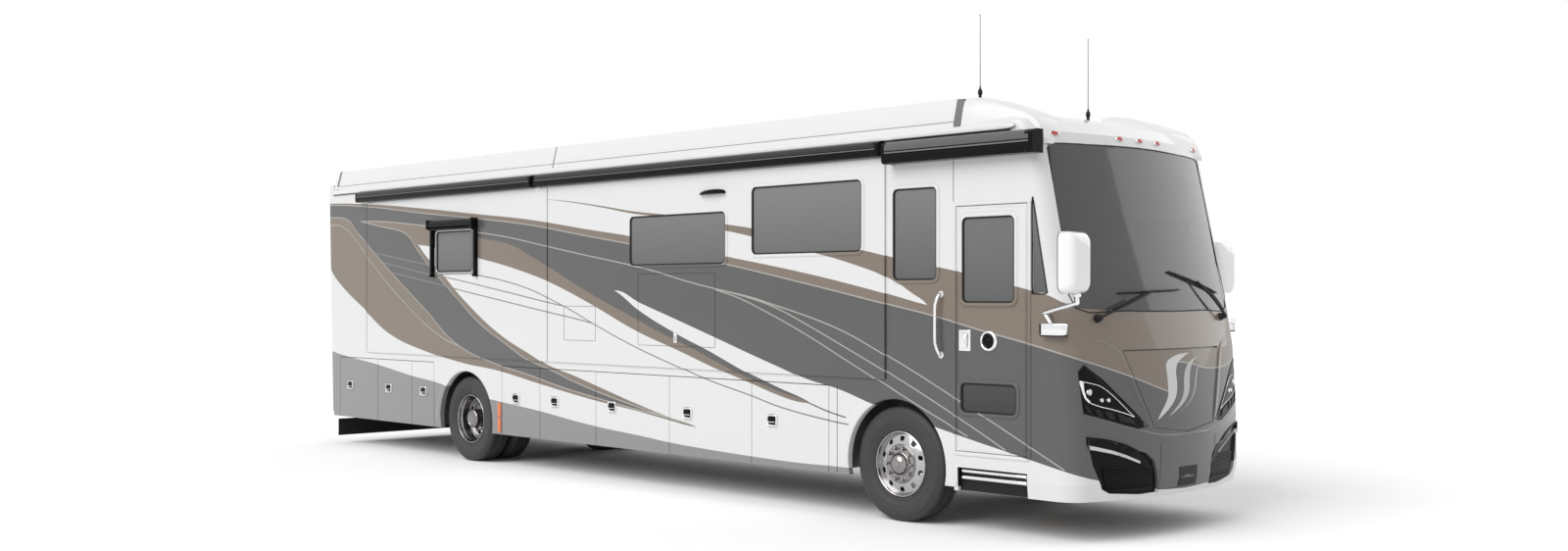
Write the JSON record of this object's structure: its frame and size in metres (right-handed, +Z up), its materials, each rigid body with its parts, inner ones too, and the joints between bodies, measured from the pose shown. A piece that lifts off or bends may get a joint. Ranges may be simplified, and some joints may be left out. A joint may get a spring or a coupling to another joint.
{
  "type": "motorhome",
  "caption": "Long flat-fronted motorhome with slide-out rooms, swinging bay doors, entry door with step, twin rear wheels and steered front wheels.",
  "frame": {"origin": "on the ground, under the middle of the vehicle", "axes": "+X forward along the vehicle, +Y to the left of its driver, +Z up"},
  "size_m": [12.482, 3.2, 4.42],
  "materials": {
    "body_paint": "gloss clear coat over graphics",
    "roof_shell": "white gel coat",
    "black_case": "black powder coat",
    "glass_dark": "tinted safety glass",
    "frame_steel": "black chassis paint",
    "axle_steel": "painted cast steel",
    "rubber_black": "moulded rubber",
    "tyre_rubber": "road tyre",
    "rim_polished": "polished forged wheel",
    "chrome_trim": "bright chrome",
    "lamp_black": "black lamp housing under clear lens",
    "lamp_red": "red lens",
    "grille_black": "black grille",
    "floor_board": "laminated floor",
    "bay_liner": "formed sheet",
    "dash_vinyl": "soft vinyl dash",
    "seat_leather": "upholstered leather",
    "wiper_black": "black wiper",
    "engine_iron": "engine casting"
  },
  "bodies": {
    "coach": {"air_springs": "rubber_black", "awning_cases": "black_case", "axles": "axle_steel", "cab_seats": "seat_leather", "chassis_frame": "frame_steel", "dashboard": "dash_vinyl", "engine_block": "engine_iron", "fenders": "body_paint", "fixed_windows": "glass_dark", "front_cap": "body_paint", "grab_handle": "chrome_trim", "grille_panels": "grille_black", "headlamps": "lamp_black", "house_floor": "floor_board", "mirrors": "chrome_trim", "rear_cap": "body_paint", "rear_guard": "rubber_black", "roof": "roof_shell", "roof_equipment": "roof_shell", "roof_fairings": "roof_shell", "sidewall_left": "body_paint", "sidewall_right": "body_paint", "signal_lamps": "lamp_red", "storage_bays": "bay_liner", "wheel_wells": "bay_liner", "windshield": "glass_dark", "wipers": "wiper_black"},
    "main_slide_body": {"slide_main": "body_paint", "slide_main_glass": "glass_dark"},
    "rear_slide_body": {"slide_rear": "body_paint", "slide_rear_glass": "glass_dark"},
    "left_slide_body": {"slide_left": "body_paint", "slide_left_glass": "glass_dark"},
    "door_leaf": {"entry_door": "body_paint", "entry_door_glass": "glass_dark"},
    "step": {"entry_step": "chrome_trim"},
    "rear_lid": {"engine_lid": "body_paint"},
    "hood": {"nose_hood": "body_paint"},
    "steer_right": {"knuckle_right": "axle_steel"},
    "front_wheel_right": {"front_tyre_right": "tyre_rubber", "front_rim_right": "rim_polished"},
    "rear_wheels_right": {"rear_tyres_right": "tyre_rubber", "rear_rims_right": "rim_polished"},
    "steer_left": {"knuckle_left": "axle_steel"},
    "front_wheel_left": {"front_tyre_left": "tyre_rubber", "front_rim_left": "rim_polished"},
    "rear_wheels_left": {"rear_tyres_left": "tyre_rubber", "rear_rims_left": "rim_polished"},
    "bay_leaf_left_1": {"bay_door_left_1": "body_paint"},
    "bay_leaf_left_2": {"bay_door_left_2": "body_paint"},
    "bay_leaf_left_3": {"bay_door_left_3": "body_paint"},
    "bay_leaf_left_4": {"bay_door_left_4": "body_paint"},
    "bay_leaf_right_1": {"bay_door_right_1": "body_paint"},
    "bay_leaf_right_2": {"bay_door_right_2": "body_paint"},
    "bay_leaf_right_3": {"bay_door_right_3": "body_paint"},
    "bay_leaf_right_4": {"bay_door_right_4": "body_paint"},
    "bay_leaf_right_5": {"bay_door_right_5": "body_paint"},
    "bay_leaf_right_6": {"bay_door_right_6": "body_paint"},
    "bay_leaf_right_7": {"bay_door_right_7": "body_paint"},
    "bay_leaf_right_8": {"bay_door_right_8": "body_paint"}
  },
  "joints": [
    {"name": "main_slide_out", "type": "slide", "parent": "coach", "child": "main_slide_body", "axis": [0, -1, 0], "range_m": [0, 0.65]},
    {"name": "rear_slide_out", "type": "slide", "parent": "coach", "child": "rear_slide_body", "axis": [0, -1, 0], "range_m": [0, 0.65]},
    {"name": "left_slide_out", "type": "slide", "parent": "coach", "child": "left_slide_body", "axis": [0, 1, 0], "range_m": [0, 0.75]},
    {"name": "step_out", "type": "slide", "parent": "coach", "child": "step", "axis": [0, -1, 0], "range_m": [0, 0.3]},
    {"name": "entry_door_swing", "type": "hinge", "parent": "coach", "child": "door_leaf", "pos_m": [5.522, -1.2825, 1.7], "axis": [0, 0, 1], "range_deg": [0, 95]},
    {"name": "engine_lid_lift", "type": "hinge", "parent": "coach", "child": "rear_lid", "pos_m": [-6.196, 0, 1.496], "axis": [0, 1, 0], "range_deg": [0, 80]},
    {"name": "nose_hood_lift", "type": "hinge", "parent": "coach", "child": "hood", "pos_m": [6.04, 0, 1.76], "axis": [0, -1, 0], "range_deg": [0, 60]},
    {"name": "steer_left", "type": "hinge", "parent": "coach", "child": "steer_left", "pos_m": [4.096, 1.02, 0.506], "axis": [0, 0, 1], "range_deg": [-45, 45]},
    {"name": "front_wheel_left_spin", "type": "hinge", "parent": "steer_left", "child": "front_wheel_left", "pos_m": [4.096, 1.11, 0.506], "axis": [0, 1, 0], "continuous": true},
    {"name": "rear_wheels_left_spin", "type": "hinge", "parent": "coach", "child": "rear_wheels_left", "pos_m": [-2.814, 0.935, 0.506], "axis": [0, 1, 0], "continuous": true},
    {"name": "steer_right", "type": "hinge", "parent": "coach", "child": "steer_right", "pos_m": [4.096, -1.02, 0.506], "axis": [0, 0, 1], "range_deg": [-45, 45]},
    {"name": "front_wheel_right_spin", "type": "hinge", "parent": "steer_right", "child": "front_wheel_right", "pos_m": [4.096, -1.11, 0.506], "axis": [0, 1, 0], "continuous": true},
    {"name": "rear_wheels_right_spin", "type": "hinge", "parent": "coach", "child": "rear_wheels_right", "pos_m": [-2.814, -0.935, 0.506], "axis": [0, 1, 0], "continuous": true},
    {"name": "bay_right_1_swing", "type": "hinge", "parent": "coach", "child": "bay_leaf_right_1", "pos_m": [-4.922, -1.2825, 0.77], "axis": [0, 0, 1], "range_deg": [0, 100]},
    {"name": "bay_right_2_swing", "type": "hinge", "parent": "coach", "child": "bay_leaf_right_2", "pos_m": [-4.074, -1.2825, 0.77], "axis": [0, 0, 1], "range_deg": [0, 100]},
    {"name": "bay_right_3_swing", "type": "hinge", "parent": "coach", "child": "bay_leaf_right_3", "pos_m": [-3.543, -1.2825, 0.77], "axis": [0, 0, 1], "range_deg": [0, 100]},
    {"name": "bay_right_4_swing", "type": "hinge", "parent": "coach", "child": "bay_leaf_right_4", "pos_m": [-1.289, -1.2825, 0.77], "axis": [0, 0, 1], "range_deg": [0, 100]},
    {"name": "bay_right_5_swing", "type": "hinge", "parent": "coach", "child": "bay_leaf_right_5", "pos_m": [-0.246, -1.2825, 0.77], "axis": [0, 0, 1], "range_deg": [0, 100]},
    {"name": "bay_right_6_swing", "type": "hinge", "parent": "coach", "child": "bay_leaf_right_6", "pos_m": [0.994, -1.2825, 0.77], "axis": [0, 0, 1], "range_deg": [0, 100]},
    {"name": "bay_right_7_swing", "type": "hinge", "parent": "coach", "child": "bay_leaf_right_7", "pos_m": [2.234, -1.2825, 0.77], "axis": [0, 0, 1], "range_deg": [0, 100]},
    {"name": "bay_right_8_swing", "type": "hinge", "parent": "coach", "child": "bay_leaf_right_8", "pos_m": [3.275, -1.2825, 0.77], "axis": [0, 0, 1], "range_deg": [0, 100]},
    {"name": "bay_left_1_swing", "type": "hinge", "parent": "coach", "child": "bay_leaf_left_1", "pos_m": [-0.7, 1.2825, 0.77], "axis": [0, 0, -1], "range_deg": [0, 100]},
    {"name": "bay_left_2_swing", "type": "hinge", "parent": "coach", "child": "bay_leaf_left_2", "pos_m": [0.65, 1.2825, 0.77], "axis": [0, 0, -1], "range_deg": [0, 100]},
    {"name": "bay_left_3_swing", "type": "hinge", "parent": "coach", "child": "bay_leaf_left_3", "pos_m": [2, 1.2825, 0.77], "axis": [0, 0, -1], "range_deg": [0, 100]},
    {"name": "bay_left_4_swing", "type": "hinge", "parent": "coach", "child": "bay_leaf_left_4", "pos_m": [3.275, 1.2825, 0.77], "axis": [0, 0, -1], "range_deg": [0, 100]}
  ],
  "couplings": [
    {"joint": "steer_right", "follows": "steer_left", "ratio": 1}
  ]
}
